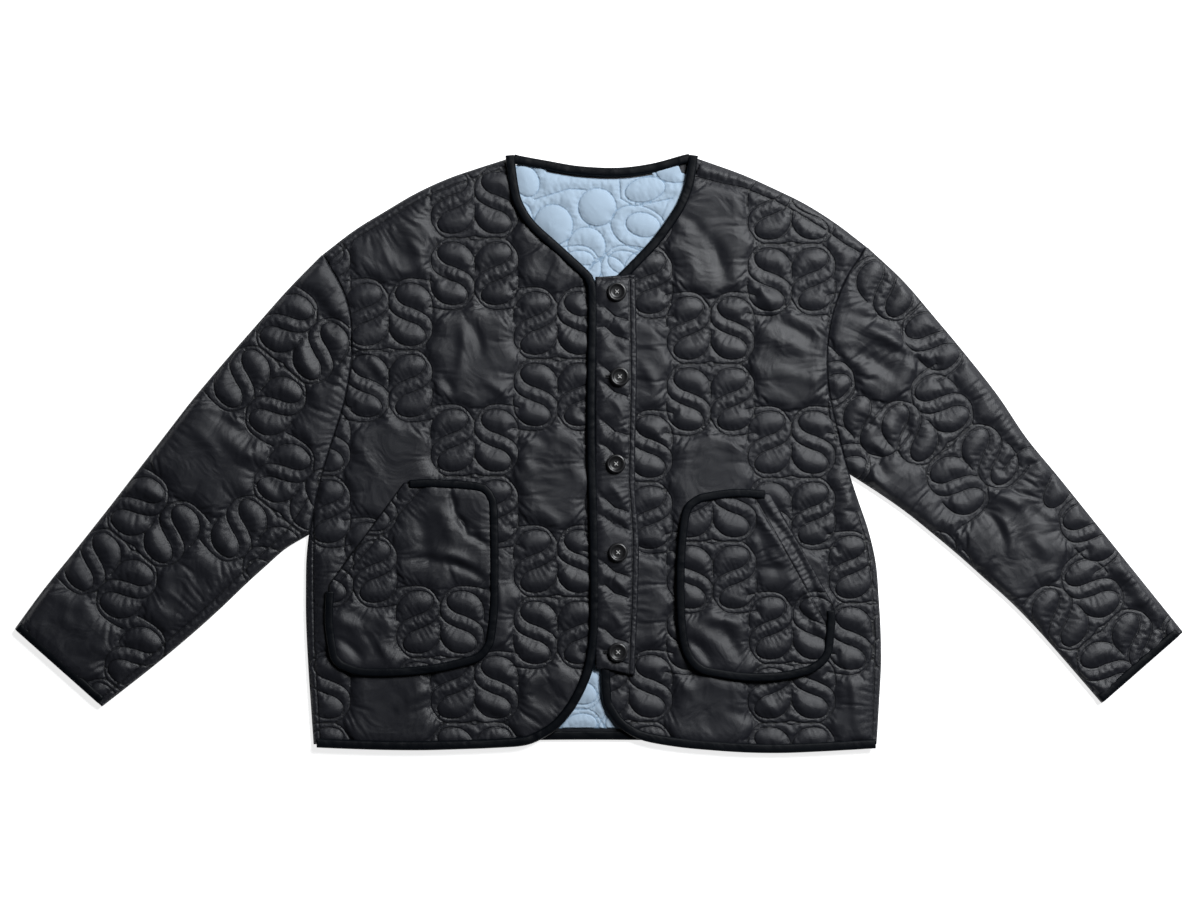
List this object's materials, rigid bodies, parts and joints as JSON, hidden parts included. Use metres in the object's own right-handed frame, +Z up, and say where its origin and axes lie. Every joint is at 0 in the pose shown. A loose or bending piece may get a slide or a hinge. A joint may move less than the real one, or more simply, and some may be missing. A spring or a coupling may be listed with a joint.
{
  "type": "quilted jacket",
  "caption": "Collarless quilted jacket laid flat and buttoned: bound edges, two rounded patch pockets, a button placket and long open-cuffed sleeves.",
  "frame": {"origin": "middle of the laid jacket's box, on the surface that it lies on", "axes": "+X towards the wearer's left sleeve, across the jacket; +Y from the hem to the neck; +Z up, out of the front of the jacket"},
  "size_m": [1.208, 0.613, 0.0177],
  "materials": {
    "shell": "charcoal-black quilted nylon with a soft sheen",
    "lining": "pale ice-blue matte lining",
    "binding": "blue-black woven binding tape, satin",
    "button": "glossy black four-hole buttons",
    "thread": "charcoal quilting thread, a little lighter than the shell"
  },
  "bodies": {
    "root": {"back": "shell", "front_right": "shell", "front_left": "shell", "sleeve_right": "shell", "sleeve_left": "shell", "placket": "shell", "pocket_right": "shell", "pocket_left": "shell", "lining_back": "lining", "binding_neck_back": "binding", "binding_front_right": "binding", "binding_front_left": "binding", "binding_hem_back": "binding", "binding_cuff_right": "binding", "binding_cuff_left": "binding", "binding_pocket_right": "binding", "binding_pocket_left": "binding", "button_1": "button", "button_2": "button", "button_3": "button", "button_4": "button", "button_5": "button"}
  },
  "joints": []
}
